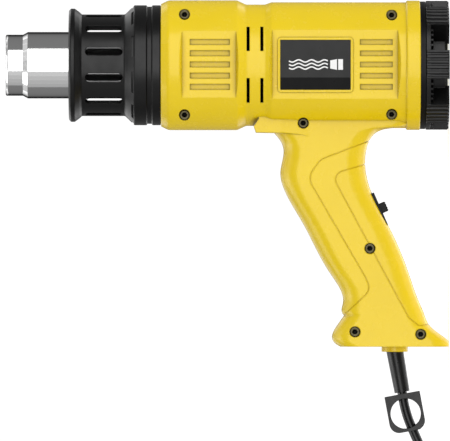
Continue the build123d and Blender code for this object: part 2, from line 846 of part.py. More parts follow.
def main():
    os.makedirs("parts", exist_ok=True)
    left, right = housing()
    name_plate, rating_plate = plates()
    lead, lead_length = cord_tube("cord_lead", LEAD_ROUTE)
    tail, tail_length = cord_tube("cord_tail", tail_route())
    coil_length = 2 * pi * COIL_TURNS * COIL_MEAN_R
    print("cord length", round(lead_length + coil_length + tail_length), "of", CORD_LENGTH)
    nodes = {
        "housing_left": left,
        "housing_right": right,
        "housing_screws": screws(),
        "name_plate": name_plate,
        "rating_plate": rating_plate,
        "heat_guard": heat_guard(),
        "outlet_tube": outlet_tube(),
        "tube_clamp_ring": ring(TUBE_R + 0.15, 27.3, 172.4, 174.4),
        "mica_gasket": ring(TUBE_R + 0.15, 27.3, 175.8, 177.8),
        "mica_sleeve": ring(17.2, 17.9, 124.0, 236.0),
        "heater_core": heater_core(),
        "heating_element": heating_element(),
        "terminal_disc": terminal_disc(),
        "thermal_cutout": disc(4.0, 112.0, 116.5) + disc(1.2, 116.5, 120.0),
        "fan_duct": fan_duct(),
        "fan_impeller": impeller(),
        "motor_bracket": motor_bracket(),
        "motor_screws": motor_screws(),
        "motor_can": motor_can(),
        "motor_end_cap": motor_end_cap(),
        "motor_magnets": motor_magnets(),
        "motor_armature": motor_armature(),
        "motor_shaft": disc(AXLE_R, 41.0, 98.0),
        "rear_cover": rear_cover(),
        "temperature_knob": knob(),
        "knob_face": knob_face(),
        "pot_shaft": pot_shaft(),
        "potentiometer": potentiometer(),
        "pot_nut": pot_nut(),
        "control_board": control_board(),
        "triac_heat_sink": heat_sink(),
        "filter_capacitor": capacitor(),
        "switch_bezel": switch_bezel(),
        "switch_label": switch_label(),
        "switch_slider": switch_slider(),
        "switch_body": switch_body(),
        "strain_relief": strain_relief(),
        "hang_ring": hang_ring(),
        "cable_clamp": cable_clamp(),
        "clamp_screws": clamp_screws(),
        "cord_inside": cord_inside(),
        "mains_leads": mains_leads(),
        "motor_leads": motor_leads(),
        "cord_lead": lead,
        "cord_coil": cord_coil(),
        "cord_tail": tail,
        "cord_tie": cord_tie(),
        "plug_body": plug_body(),
        "plug_blades": plug_blades(),
    }
    for name, shape in nodes.items():
        write(name, shape)


main()
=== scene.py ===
import json
import math

import bmesh
import bpy
from mathutils import Matrix, Vector

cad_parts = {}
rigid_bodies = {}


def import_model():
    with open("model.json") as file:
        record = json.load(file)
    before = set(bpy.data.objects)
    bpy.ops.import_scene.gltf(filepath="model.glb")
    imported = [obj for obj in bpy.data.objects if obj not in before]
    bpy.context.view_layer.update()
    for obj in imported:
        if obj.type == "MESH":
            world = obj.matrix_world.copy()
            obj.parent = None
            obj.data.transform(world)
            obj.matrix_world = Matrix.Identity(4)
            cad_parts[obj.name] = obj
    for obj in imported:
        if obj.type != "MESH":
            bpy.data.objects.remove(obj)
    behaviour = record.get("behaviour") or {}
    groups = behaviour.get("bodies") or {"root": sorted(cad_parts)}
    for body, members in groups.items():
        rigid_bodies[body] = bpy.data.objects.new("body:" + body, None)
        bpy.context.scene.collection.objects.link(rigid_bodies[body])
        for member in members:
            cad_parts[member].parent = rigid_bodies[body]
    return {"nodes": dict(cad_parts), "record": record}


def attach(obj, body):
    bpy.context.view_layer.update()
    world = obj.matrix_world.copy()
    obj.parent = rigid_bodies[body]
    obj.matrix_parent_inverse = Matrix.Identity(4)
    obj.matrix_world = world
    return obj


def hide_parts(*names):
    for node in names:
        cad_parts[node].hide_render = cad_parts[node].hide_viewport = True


for leftover in list(bpy.data.objects):
    bpy.data.objects.remove(leftover)

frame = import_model()
bpy.context.view_layer.update()
NODES = frame["nodes"]
SCENE = bpy.context.scene

# Metres. +Z is the barrel axis towards the outlet, z = 0 is the bench, the handle
# points along -X and the gun's left side faces -Y.

# ---- camera ----
CAMERA_PLACE = (-0.0885, -6.0, 0.1274)
CAMERA_LENS = 842.0

# ---- prints, which lie this far above their surface ----
PRINT = 0.00006

# ---- dial, whose marks are laid out in millimetres ----
DIAL_Z = 0.0024
DIAL_ARC_R = 17.3
DIAL_MINUS_R = 16.0
DIAL_PLUS_R = 15.6

# ---- switch: outward heights and sizes in millimetres ----
SWITCH_CENTRE = Vector((-0.0817, 0.0, 0.03865))
SWITCH_TILT = math.radians(23.8)
FILM_FACE = -2.3
FILM_BACK = -3.3
FILM_CORNER = 1.0
FILM_HALF_LENGTH = 8.1
FILM_HALF_WIDTH = 7.7
BUTTON_HALF_LENGTH = 2.9
BUTTON_HALF_WIDTH = 7.4
BUTTON_BOTTOM = -2.0
BUTTON_TOP = 3.7
BUTTON_ROUND = 0.8

# ---- screws: x, z and how deep the head's seat is from the middle plane ----
HEAD_HEIGHT = 0.0019
SCREWS = [
    (0.0285, 0.1504, 0.0186),
    (-0.0285, 0.1504, 0.0186),
    (0.0282, 0.0327, 0.0174),
    (-0.0282, 0.0327, 0.0174),
    (-0.0331, 0.0829, 0.0132),
    (-0.1044, 0.0450, 0.0147),
    (-0.1518, 0.0535, 0.0147),
    (-0.1532, 0.0161, 0.0147),
]

# ---- name plate ----
PLATE_Y = -0.0303
PLATE_X = (-0.0143, 0.0139)
PLATE_Z = (0.0562, 0.0960)
PLATE_STEP_X = -0.0074

# ---- outlet tube ----
TUBE_TIP_Z = 0.2523
LIP_WIDTH = 0.0016
LIP_DEPTH = 0.0007

# ---- heater ----
WIRE_COILS = 10
WIRE_RING_R = 0.0116
WIRE_COIL_R = 0.00165
WIRE_D = 0.0009
WIRE_TURNS = 44
WIRE_Z = (0.1270, 0.2330)

# ---- mains lead ----
CORD_D = 0.0055
COIL_CENTRE = (-0.2795, 0.0315)
COIL_LOW_Z = 0.00385
COIL_TOP_Z = 0.00945
OVER_COIL_Z = 0.015
TURN_PITCH = 0.0056
OUTER_TURN_R = 0.0399
TURNS_A_LAYER = 4
STEPS_A_TURN = 16
SHIFT_STEPS = 5
INWARD = 0.0023
ENTRY_ANGLE = math.radians(-78)
RISE_ANGLE = math.radians(247)
RISE_SPAN = math.radians(72)
LEAD_ROUTE = [
    (-0.18625, 0.0, 0.02645),
    (-0.1965, 0.0, 0.0252),
    (-0.213, 0.0001, 0.0182),
    (-0.2345, 0.00027, 0.0084),
    (-0.252, -0.00345, 0.00385),
]
TAIL_STEP = 0.0105
TAIL_TURN = math.radians(19.2)
TAIL_HEIGHTS = [0.015, 0.015, 0.015, 0.015, 0.015, 0.015, 0.0155, 0.0168, 0.0182, 0.0195, 0.02]
PLUG_START = Vector((-0.278125, 0.05552, 0.02))

# ---------------------------------------------------------------- materials

NOISE_ENDS = (0.3, 0.7)  # a noise's factor is nearly always between these


class Shader:
    """A node material with a Principled shader, and short ways to add to it."""

    def __init__(self, name):
        self.material = bpy.data.materials.new(name)
        self.material.use_nodes = True
        self.tree = self.material.node_tree
        self.shader = self.tree.nodes["Principled BSDF"]
        self.coords = self.node("ShaderNodeTexCoord").outputs["Object"]

    def node(self, kind, **values):
        made = self.tree.nodes.new(kind)
        for key, value in values.items():
            setattr(made, key, value)
        return made

    def link(self, source, target):
        self.tree.links.new(source, target)

    def set(self, **values):
        for key, value in values.items():
            self.shader.inputs[key.replace("_", " ")].default_value = value

    def noise(self, scale, detail, stretch=(1, 1, 1)):
        mapping = self.node("ShaderNodeMapping")
        mapping.inputs["Scale"].default_value = stretch
        self.link(self.coords, mapping.inputs["Vector"])
        noise = self.node("ShaderNodeTexNoise")
        noise.inputs["Scale"].default_value = scale
        noise.inputs["Detail"].default_value = detail
        self.link(mapping.outputs["Vector"], noise.inputs["Vector"])
        return noise.outputs["Fac"]

    def paint(self, factor, stops):
        """Gives the base colour a ramp of (place, colour) stops over a factor."""
        ramp = self.node("ShaderNodeValToRGB")
        elements = ramp.color_ramp.elements
        for element, (place, colour) in zip(elements, stops):
            element.position = place
            element.color = (*colour, 1)
        self.link(factor, ramp.inputs["Fac"])
        self.link(ramp.outputs["Color"], self.shader.inputs["Base Color"])

    def between(self, value, ends, results, **kind):
        """Maps a value from between two ends on to between two results."""
        between = self.node("ShaderNodeMapRange", **kind)
        names = ("From Min", "From Max", "To Min", "To Max")
        for name, number in zip(names, (*ends, *results)):
            between.inputs[name].default_value = number
        self.link(value, between.inputs["Value"])
        return between

    def place_along(self, axis):
        """The distance along one of the frame's axes, in metres."""
        apart = self.node("ShaderNodeSeparateXYZ")
        self.link(self.coords, apart.inputs[0])
        return apart.outputs[axis]

    def colour(self, dark, light, factor):
        low, high = NOISE_ENDS
        self.paint(factor, [(low, dark), (high, light)])

    def roughness(self, low, high, factor):
        spread = self.between(factor, NOISE_ENDS, (low, high))
        self.link(spread.outputs["Result"], self.shader.inputs["Roughness"])

    def bump(self, height, distance, edge=0.0):
        """Raises the surface by its height, and rounds the edges of the mesh."""
        bump = self.node("ShaderNodeBump")
        bump.inputs["Distance"].default_value = distance
        self.link(height, bump.inputs["Height"])
        if edge:
            bevel = self.node("ShaderNodeBevel", samples=4)
            bevel.inputs["Radius"].default_value = edge
            self.link(bevel.outputs["Normal"], bump.inputs["Normal"])
        self.link(bump.outputs["Normal"], self.shader.inputs["Normal"])


def moulded_shader(name, dark, light, rough, grain, grain_depth, specular=0.5, edge=0.0):
    """Injection-moulded plastic: faint clouding, a spark-eroded grain and soft edges."""
    shader = Shader(name)
    shader.colour(dark, light, shader.noise(34, 4))
    shader.roughness(rough - 0.05, rough + 0.05, shader.noise(160, 3))
    shader.bump(shader.noise(grain, 2), grain_depth, edge=edge)
    shader.set(Specular_IOR_Level=specular)
    return shader


def moulded(*values, **more):
    return moulded_shader(*values, **more).material


def housing_material():
    """The housing's yellow: painted shade where ambient occlusion finds a crease, weaker on the
    handle, and darker along the halves' joint line.
    """
    shader = moulded_shader(
        "yellow_plastic_satin", YELLOW_DARK, YELLOW_LIGHT, 0.25, 2600, 0.000008, 0.40, edge=0.0010
    )
    base = shader.shader.inputs["Base Color"]
    clouds = base.links[0].from_socket  # the colour it has so far
    # Painted shade: ambient occlusion darkens the yellow towards a shade colour in slots, steps and
    # other hollows.
    crease_shade = shader.node("ShaderNodeAmbientOcclusion", samples=8, only_local=True)
    crease_shade.inputs["Distance"].default_value = CREASE_SHADE_REACH
    open_air = shader.between(crease_shade.outputs["AO"], CREASE_SHADE_ENDS, (0.0, 1.0))
    # The painted crease shade is weaker on the handle, below its top.
    handle_ends = (HANDLE_TOP_X, HANDLE_TOP_X + CREASE_SHADE_REACH)
    handle = shader.between(shader.place_along("X"), handle_ends, (HANDLE_CREASE_SHADE_LEAST, 0.0))
    shader.link(handle.outputs["Result"], open_air.inputs["To Min"])
    across = shader.node("ShaderNodeMath", operation="ABSOLUTE")
    shader.link(shader.place_along("Y"), across.inputs[0])
    seam = shader.between(across.outputs[0], (SEAM_WIDTH / 2, SEAM_WIDTH), (SEAM_LEAST, 1.0))
    both = shader.node("ShaderNodeMath", operation="MULTIPLY")
    shader.link(open_air.outputs["Result"], both.inputs[0])
    shader.link(seam.outputs["Result"], both.inputs[1])
    mix = shader.node("ShaderNodeMixRGB")
    mix.inputs["Color1"].default_value = (*YELLOW_CREASE_SHADE, 1)
    shader.link(both.outputs[0], mix.inputs["Fac"])
    shader.link(clouds, mix.inputs["Color2"])
    shader.link(mix.outputs["Color"], base)
    return shader.material


def metal(name, dark, light, rough, stretch, scale, depth, edge=0.0):
    """Bare or plated metal with fine marks drawn out along its working direction."""
    shader = Shader(name)
    shader.set(Metallic=1.0)
    marks = shader.noise(scale, 4, stretch)
    shader.colour(dark, light, marks)
    shader.roughness(rough * 0.8, rough * 1.3, marks)
    shader.bump(marks, depth, edge=edge)
    return shader.material


def steel_material():
    """Bright drawn tube: fine rings round it, a rolled lip, and a painted shade that darkens its
    outline where the surface turns edge-on to the view.
    """
    shader = Shader("polished_steel")
    shader.set(Metallic=1.0, Specular_Tint=(*grey(0.25), 1))
    marks = shader.noise(300, 4, (1, 1, 9))
    # Painted shade: the base colour drops from bright to dark grey where the tube turns away from
    # the view.
    facing = shader.node("ShaderNodeLayerWeight")
    facing.inputs["Blend"].default_value = 0.5
    shader.paint(facing.outputs["Facing"], [(0.60, grey(0.79)), (0.78, grey(0.12))])
    shader.roughness(0.075, 0.12, marks)
    lip_ends = (TUBE_TIP_Z - LIP_WIDTH, TUBE_TIP_Z)
    lip = shader.between(
        shader.place_along("Z"), lip_ends, (1.0, 0.0), interpolation_type="SMOOTHSTEP"
    )
    shader.bump(lip.outputs["Result"], LIP_DEPTH, edge=0.0003)
    return shader.material


def grey(value, tint=(1, 1, 1)):
    return tuple(value * t for t in tint)


def ceramic_material():
    shader = Shader("fired_ceramic")
    shader.colour((0.62, 0.56, 0.46), (0.82, 0.78, 0.70), shader.noise(60, 5))
    shader.roughness(0.7, 0.9, shader.noise(300, 3))
    shader.bump(shader.noise(900, 3), 0.0002)
    return shader.material


def mica_material():
    shader = Shader("pressed_mica")
    flakes = shader.node("ShaderNodeTexVoronoi")
    flakes.inputs["Scale"].default_value = 260
    shader.link(shader.coords, flakes.inputs["Vector"])
    shader.paint(
        flakes.outputs["Distance"], [(0.0, (0.62, 0.54, 0.40)), (0.8, (0.44, 0.36, 0.24))]
    )
    shader.roughness(0.35, 0.6, shader.noise(200, 3))
    shader.bump(flakes.outputs["Distance"], 0.00008)
    return shader.material


def board_material():
    shader = Shader("solder_mask")
    tracks = shader.noise(240, 2, (1, 0.25, 1))
    shader.paint(tracks, [(0.48, (0.02, 0.12, 0.05)), (0.52, (0.05, 0.22, 0.10))])
    shader.roughness(0.3, 0.42, shader.noise(120, 2))
    shader.bump(tracks, 0.00006)
    return shader.material


def winding_material():
    shader = Shader("enamelled_winding")
    wires = shader.node("ShaderNodeTexWave", bands_direction="Z")
    wires.inputs["Scale"].default_value = 420
    wires.inputs["Distortion"].default_value = 1.5
    shader.link(shader.coords, wires.inputs["Vector"])
    shader.paint(wires.outputs["Fac"], [(0.1, (0.16, 0.05, 0.02)), (0.9, (0.68, 0.30, 0.13))])
    shader.set(Metallic=0.8)
    shader.roughness(0.25, 0.4, shader.noise(300, 2))
    shader.bump(wires.outputs["Fac"], 0.0002)
    return shader.material


def label_material(name, colour):
    shader = Shader(name)
    shader.colour(grey(0.93, colour), colour, shader.noise(220, 3))
    shader.roughness(0.32, 0.45, shader.noise(400, 2))
    shader.bump(shader.noise(1600, 2), 0.00002)
    return shader.material


YELLOW_DARK = (0.800, 0.575, 0.0035)
YELLOW_LIGHT = (0.830, 0.602, 0.0050)
# Painted shade for the housing: its colour, the reach of the ambient occlusion that draws it, and
# how little of it the handle gets.
YELLOW_CREASE_SHADE = (0.34, 0.235, 0.0004)
CREASE_SHADE_REACH = 0.0036
CREASE_SHADE_ENDS = (0.38, 0.95)
HANDLE_TOP_X = -0.046
HANDLE_CREASE_SHADE_LEAST = 0.8
SEAM_WIDTH = 0.00018
SEAM_LEAST = 0.35

MATERIALS = {
    "yellow_plastic": housing_material(),
    "black_plastic": moulded(
        "black_plastic_fine", grey(0.0022), grey(0.0032), 0.38, 2400, 0.00003, 0.18, edge=0.0003
    ),
    "guard_plastic": moulded(
        "guard_plastic_glass_filled", grey(0.0020), grey(0.0030), 0.34, 1500, 0.00003, 0.32,
        edge=0.0004,
    ),
    "knob_plastic": moulded(
        "knob_plastic_matt", grey(0.0024), grey(0.0036), 0.32, 2200, 0.00003, 0.38, edge=0.0004
    ),
    "dial_plastic": moulded("dial_plastic_matt", grey(0.016), grey(0.020), 0.5, 2000, 0.00003, 0.4),
    "fan_plastic": moulded("fan_plastic", grey(0.02), grey(0.03), 0.5, 1800, 0.00004, 0.4),
    "plate_grey": moulded("plate_film", grey(0.018), grey(0.0195), 0.32, 900, 0.00001, 0.17),
    "soft_rubber": moulded(
        "soft_pvc", grey(0.0040), grey(0.0060), 0.30, 1500, 0.00002, 0.36, edge=0.0005
    ),
    "cord_rubber": moulded("cord_sheath", grey(0.003), grey(0.005), 0.28, 1200, 0.00002, 0.42),
    "tie_plastic": moulded("tie_nylon", grey(0.012), grey(0.02), 0.5, 1600, 0.00005, 0.4),
    "capacitor_yellow": moulded(
        "film_capacitor", (0.55, 0.36, 0.04), (0.62, 0.42, 0.06), 0.4, 1200, 0.00003
    ),
    "wire_insulation": moulded(
        "wire_pvc", (0.36, 0.05, 0.03), (0.45, 0.07, 0.04), 0.4, 1400, 0.00003
    ),
    "magnet": moulded("ferrite", grey(0.03), grey(0.05), 0.6, 700, 0.00008, 0.3),
    "bright_steel": steel_material(),
    "zinc_steel": metal(
        "zinc_plate", grey(0.5), grey(0.62, (1, 1, 1.03)), 0.34, (1, 1, 0.3), 420, 0.00002
    ),
    "screw_steel": metal(
        "black_oxide_steel", (0.075, 0.066, 0.036), (0.12, 0.105, 0.06), 0.34, (1, 1, 1), 900,
        0.00003, edge=0.0002,
    ),
    "brass": metal(
        "turned_brass", (0.66, 0.48, 0.2), (0.8, 0.62, 0.3), 0.24, (1, 1, 0.2), 700, 0.00001
    ),
    "bare_aluminium": metal("aluminium", grey(0.66), grey(0.78), 0.32, (1, 1, 0.1), 800, 0.00002),
    "heater_wire": metal(
        "heater_wire", (0.22, 0.18, 0.15), (0.36, 0.31, 0.28), 0.5, (1, 1, 1), 900, 0.00003
    ),
    "winding_copper": winding_material(),
    "mica": mica_material(),
    "ceramic": ceramic_material(),
    "circuit_board": board_material(),
    "switch_label_film": label_material("switch_film", (0.035, 0.035, 0.038)),
}
DIAL_YELLOW = label_material("dial_print", (0.90, 0.82, 0.02))
WHITE_PRINT = label_material("white_print", (0.86, 0.86, 0.86))
BLUE_PRINT = label_material("blue_print", (0.03, 0.16, 0.62))
RED_PRINT = label_material("red_print", (0.62, 0.03, 0.02))
PLATE_DARK = moulded("plate_film_dark", grey(0.0055), grey(0.0065), 0.32, 900, 0.00001, 0.06)
# Painted shade: near-black for the inside of the screws' sockets, where shade falls.
SOCKET_SHADE = moulded("socket_painted_shade", grey(0.0015), grey(0.003), 0.6, 900, 0.00001, 0.1)


def dress_nodes():
    """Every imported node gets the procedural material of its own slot."""
    for row in frame["record"]["subparts"]:
        node = NODES[row["node"]]
        for slot in node.material_slots:
            slot.material = MATERIALS[row["material_slot"]]


# ---------------------------------------------------------------- pieces


def add(name, data, body, slot, *materials):
    """Puts a mesh or curve in the scene, riding on a body.

    It wears the slot's own material unless others are given.
    """
    piece = bpy.data.objects.new(name, data)
    SCENE.collection.objects.link(piece)
    for material in materials or [MATERIALS[slot]]:
        data.materials.append(material)
    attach(piece, body)
    return piece


def mesh_from(bm, name):
    """Ends a bmesh as a mesh, with the faces of each closed skin turned outwards."""
    bmesh.ops.recalc_face_normals(bm, faces=bm.faces)
    mesh = bpy.data.meshes.new(name)
    bm.to_mesh(mesh)
    bm.free()
    return mesh


def loft(bm, loops, smooth=False):
    """A closed skin through loops of places that all have the same count."""
    rings = [[bm.verts.new(place) for place in loop] for loop in loops]
    for first, second in zip(rings, rings[1:]):
        for k in range(len(first)):
            face = bm.faces.new((first[k - 1], first[k], second[k], second[k - 1]))
            face.smooth = smooth
    bm.faces.new(rings[0])
    bm.faces.new(rings[-1])


def coil_points():
    """The coil's control points: a layer of turns inwards, up, and a layer outwards."""
    step_angle = 2 * math.pi / STEPS_A_TURN
    fit = 1 / math.cos(step_angle / 2)
    points = []
    for step in range(-1, 2 * TURNS_A_LAYER * STEPS_A_TURN):
        turned = (step + 0.5) * step_angle
        radius, z = coil_place(step, turned)
        x = COIL_CENTRE[0] + fit * radius * math.cos(ENTRY_ANGLE - turned)
        y = COIL_CENTRE[1] + fit * radius * math.sin(ENTRY_ANGLE - turned)
        points.append((x, y, z))
    return points


def coil_place(step, turned):
    """Radius and height at a step. The end of each turn moves over to the next one."""
    turn = max(0, step // STEPS_A_TURN)
    part = turned / (2 * math.pi) - turn
    shift = max(0.0, (part * STEPS_A_TURN - STEPS_A_TURN + SHIFT_STEPS) / SHIFT_STEPS)
    eased = (1 - math.cos(math.pi * shift)) / 2
    inner = TURNS_A_LAYER - 1
    if turn < inner:
        return OUTER_TURN_R - TURN_PITCH * (turn + eased), COIL_LOW_Z
    inner_radius = OUTER_TURN_R - TURN_PITCH * inner
    if turn == inner:
        return inner_radius - INWARD * math.sin(math.pi * shift), COIL_LOW_Z + TURN_PITCH * eased
    if turn < 2 * TURNS_A_LAYER - 1:
        return inner_radius + TURN_PITCH * (turn - TURNS_A_LAYER + eased), COIL_TOP_Z
    rise = min(1.0, max(0.0, (part * 2 * math.pi - RISE_ANGLE) / RISE_SPAN))
    height = (OVER_COIL_Z - COIL_TOP_Z) * (1 - math.cos(math.pi * rise)) / 2
    return OUTER_TURN_R - TURN_PITCH / 2 * eased**2, COIL_TOP_Z + height


def tail_points():
    """Round on top of the coil to the plug, turning a little at each point."""
    radius = OUTER_TURN_R - TURN_PITCH / 2
    x = COIL_CENTRE[0] + radius * math.cos(ENTRY_ANGLE)
    y = COIL_CENTRE[1] + radius * math.sin(ENTRY_ANGLE)
    heading = ENTRY_ANGLE - math.pi / 2
    points = []
    for height in TAIL_HEIGHTS:
        x += TAIL_STEP * math.cos(heading)
        y += TAIL_STEP * math.sin(heading)
        points.append((x, y, height))
        heading -= TAIL_TURN
    return points


def bevelled_curve(name, radius, resolution):
    data = bpy.data.curves.new(name, "CURVE")
    data.dimensions = "3D"
    data.bevel_depth = radius
    data.bevel_resolution = resolution
    data.use_fill_caps = True
    return data


def mains_cord():
    """The whole mains lead: down from the sleeve, round the coil and up to the plug."""
    data = bevelled_curve("mains_cord", CORD_D / 2, 6)
    points = LEAD_ROUTE + coil_points() + tail_points()
    spline = data.splines.new("NURBS")
    spline.points.add(len(points) - 1)
    for place, point in zip(spline.points, points):
        place.co = (*point, 1)
    spline.order_u = 3
    spline.use_endpoint_u = True
    spline.resolution_u = 6
    piece = add("mains_cord", data, "root", "cord_rubber")
    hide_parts("cord_lead", "cord_coil", "cord_tail")
    return piece


def lathe(bm, profile, place, segments):
    """Turns (radius, height, corners, material) points about a place's Z axis.

    Corners is 0 for a round ring and 6 for a hexagonal one.
    """
    rings = []
    for radius, height, corners, _ in profile:
        ring = []
        for k in range(segments):
            angle = 2 * math.pi * k / segments
            r = radius
            if corners:
                sector = math.pi / corners
                r = radius / math.cos((angle + sector) % (2 * sector) - sector)
            point = Vector((r * math.cos(angle), r * math.sin(angle), height))
            ring.append(bm.verts.new(place @ point))
        rings.append(ring)
    for (first, second), row in zip(zip(rings, rings[1:]), profile[1:]):
        for k in range(segments):
            n = (k + 1) % segments
            face = bm.faces.new((first[k], first[n], second[n], second[k]))
            face.material_index = row[3]
            face.smooth = True
    for ring, row in ((rings[0], profile[0]), (rings[-1], profile[-1])):
        bm.faces.new(ring).material_index = row[3]


def socket_screws():
    """Eight cap screws with a worn rim and a hexagonal socket, deep in their holes; the socket
    wears a near-black material as painted shade.
    """
    bm = bmesh.new()
    for x, z, seat in SCREWS:
        upright = Matrix.Rotation(math.pi / 2, 4, "X")
        place = Matrix.Translation((x, -seat - HEAD_HEIGHT, z)) @ upright
        shank_end = -HEAD_HEIGHT - seat
        profile = [
            (0.0004, -0.0016, 0, 1),
            (0.00125, -0.0013, 6, 1),
            (0.00125, -0.00012, 6, 1),
            (0.00155, 0.0, 0, 0),
            (0.0023, 0.0, 0, 0),
            (0.00262, -0.00008, 0, 0),
            (0.00285, -0.00035, 0, 0),
            (0.00285, -HEAD_HEIGHT, 0, 0),
            (0.0013, -HEAD_HEIGHT, 0, 0),
            (0.0013, shank_end - 0.0094, 0, 0),
            (0.0004, shank_end - 0.0103, 0, 0),
        ]
        lathe(bm, profile, place, segments=36)
    mesh = mesh_from(bm, "socket_screws")
    steel = MATERIALS["screw_steel"]
    piece = add("socket_screws", mesh, "root", "screw_steel", steel, SOCKET_SHADE)
    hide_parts("housing_screws")


def ribbon(bm, points, widths, place):
    """A flat stroke along (u, v) points. Widths is one width or one for each point."""
    count = len(points)
    if not isinstance(widths, (list, tuple)):
        widths = [widths] * count
    sides = []
    for k, (u, v) in enumerate(points):
        before = points[max(0, k - 1)]
        after = points[min(count - 1, k + 1)]
        along = Vector((after[0] - before[0], after[1] - before[1])).normalized()
        half = widths[k] / 2
        ends = [(u - along.y * half, v + along.x * half), (u + along.y * half, v - along.x * half)]
        sides.append([bm.verts.new(place(*end)) for end in ends])
    for (a, b), (c, d) in zip(sides, sides[1:]):
        bm.faces.new((a, b, d, c))


def patch(bm, points, place):
    bm.faces.new([bm.verts.new(place(u, v)) for u, v in points])


def polar(radius, degrees):
    return radius * math.cos(math.radians(degrees)), radius * math.sin(math.radians(degrees))


def arc(radius, start, end, steps, centre=(0, 0)):
    """Points on an arc, with angles in degrees."""
    points = [polar(radius, start + (end - start) * k / steps) for k in range(steps + 1)]
    return [(centre[0] + u, centre[1] + v) for u, v in points]


def printed(name, bm, body, slot, ink):
    """A print: thin ink with a rim of its own, lying on its surface."""
    piece = add(name, mesh_from(bm, name), body, slot, ink)
    layer = piece.modifiers.new("ink", "SOLIDIFY")
    layer.thickness = PRINT / 2
    layer.offset = 0


def dial_place(u, v):
    """From millimetres on the dial, seen from behind, to the dial's face."""
    return Vector((v / 1000, u / 1000, DIAL_Z - PRINT))


def dial_print():
    """A crescent that grows from minus to plus, round a thermometer and two units."""
    bm = bmesh.new()
    steps = 60
    start, sweep = 130, -216
    widths = [2.2 + 2.5 * k / steps for k in range(steps + 1)]
    crescent = [
        polar(DIAL_ARC_R - width / 2, start + sweep * k / steps) for k, width in enumerate(widths)
    ]
    ribbon(bm, crescent, widths, dial_place)
    minus = Vector(polar(DIAL_MINUS_R, 152))
    level = Vector(polar(2.5, 62))
    ribbon(bm, [minus - level, minus + level], 1.5, dial_place)
    plus = Vector(polar(DIAL_PLUS_R, 255))
    upright = Vector(polar(3.0, 255))
    level = Vector(polar(3.0, 345))
    ribbon(bm, [plus - upright, plus + upright], 1.4, dial_place)
    for near, far in ((-1, -0.24), (0.24, 1)):
        ribbon(bm, [plus + level * near, plus + level * far], 1.4, dial_place)
    thermometer(bm)
    degree_marks(bm)
    printed("dial_print", bm, "knob", "dial_plastic", DIAL_YELLOW)


def thermometer(bm):
    """A filled bulb under an open tube, with three marks beside it."""
    bulb = arc(3.9, 122, 418, 40, (0, -4.1))
    patch(bm, bulb + [(2.0, 3.2), (-2.0, 3.2)], dial_place)
    top = [(1.5, 3.2)] + arc(1.5, 0, 180, 14, (0, 5.1)) + [(-1.5, 3.2)]
    ribbon(bm, top, 1.0, dial_place)
    for v, length in ((3.9, 2.0), (2.3, 1.5), (0.7, 1.5)):
        ribbon(bm, [(2.5, v), (2.5 + length, v)], 0.6, dial_place)


def degree_marks(bm):
    """The signs for degrees C and F."""
    for centre in ((-7.6, 6.3), (5.2, 6.3)):
        ribbon(bm, arc(0.55, 0, 360, 14, centre), 0.35, dial_place)
    ribbon(bm, arc(1.45, 45, 315, 18, (-5.2, 4.6)), 0.6, dial_place)
    ribbon(bm, [(6.6, 3.0), (6.6, 6.3)], 0.6, dial_place)
    ribbon(bm, [(6.9, 6.0), (8.7, 6.0)], 0.6, dial_place)
    ribbon(bm, [(6.9, 4.7), (8.3, 4.7)], 0.6, dial_place)


def switch_place(side, along, out=FILM_FACE + 1000 * PRINT):
    """From millimetres across, along and out of the switch to a place."""
    c, s = math.cos(SWITCH_TILT), math.sin(SWITCH_TILT)
    x = SWITCH_CENTRE.x + (s * out - c * along) / 1000
    z = SWITCH_CENTRE.z - (s * along + c * out) / 1000
    return Vector((x, side / 1000, z))


def switch_mark_place(side, along):
    return switch_place(side, along, FILM_FACE + 2000 * PRINT)


def switch_button():
    """The slide button: rounded top corners, three finger grooves and chamfered ends."""
    half, rounding = BUTTON_HALF_LENGTH, BUTTON_ROUND
    shoulder = BUTTON_TOP - rounding
    outline = [(-half, BUTTON_BOTTOM), (half, BUTTON_BOTTOM)]
    outline += arc(rounding, 0, 90, 5, (half - rounding, shoulder))
    for groove in (1.6, 0.0, -1.6):
        outline += arc(0.42, -28.4, -151.6, 6, (groove, BUTTON_TOP + 0.2))
    outline += arc(rounding, 90, 180, 5, (rounding - half, shoulder))
    middle = (BUTTON_TOP + BUTTON_BOTTOM) / 2
    half_height = BUTTON_TOP - middle
    chamfer = ((0.0, 0.35), (0.12, 0.12), (0.35, 0.0))
    ends = [(BUTTON_HALF_WIDTH - short, inset) for short, inset in chamfer]
    loops = []
    for side, inset in [(-side, inset) for side, inset in ends] + ends[::-1]:
        shorter, lower = 1 - inset / half, 1 - inset / half_height
        loops.append([
            switch_place(side, along * shorter, middle + (out - middle) * lower)
            for along, out in outline
        ])
    bm = bmesh.new()
    loft(bm, loops)
    mesh = mesh_from(bm, "switch_button")
    piece = add("switch_button", mesh, "switch_slide", "black_plastic")
    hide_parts("switch_slider")


def switch_film():
    """The dark film round the printed steps, with rounded corners and a soft rim."""
    corners = ((1, 1, 0), (-1, 1, 90), (-1, -1, 180), (1, -1, 270))
    loops = []
    for out, inset in ((FILM_BACK, 0.0), (FILM_FACE - 0.06, 0.0), (FILM_FACE, 0.08)):
        outline = []
        for lengthwise, crosswise, start in corners:
            centre = (
                lengthwise * (FILM_HALF_LENGTH - FILM_CORNER),
                crosswise * (FILM_HALF_WIDTH - FILM_CORNER),
            )
            outline += arc(FILM_CORNER - inset, start, start + 90, 6, centre)
        loops.append([switch_place(side, along, out) for along, side in outline])
    bm = bmesh.new()
    loft(bm, loops)
    piece = add("switch_film", mesh_from(bm, "switch_film"), "root", "switch_label_film")
    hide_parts("switch_label")


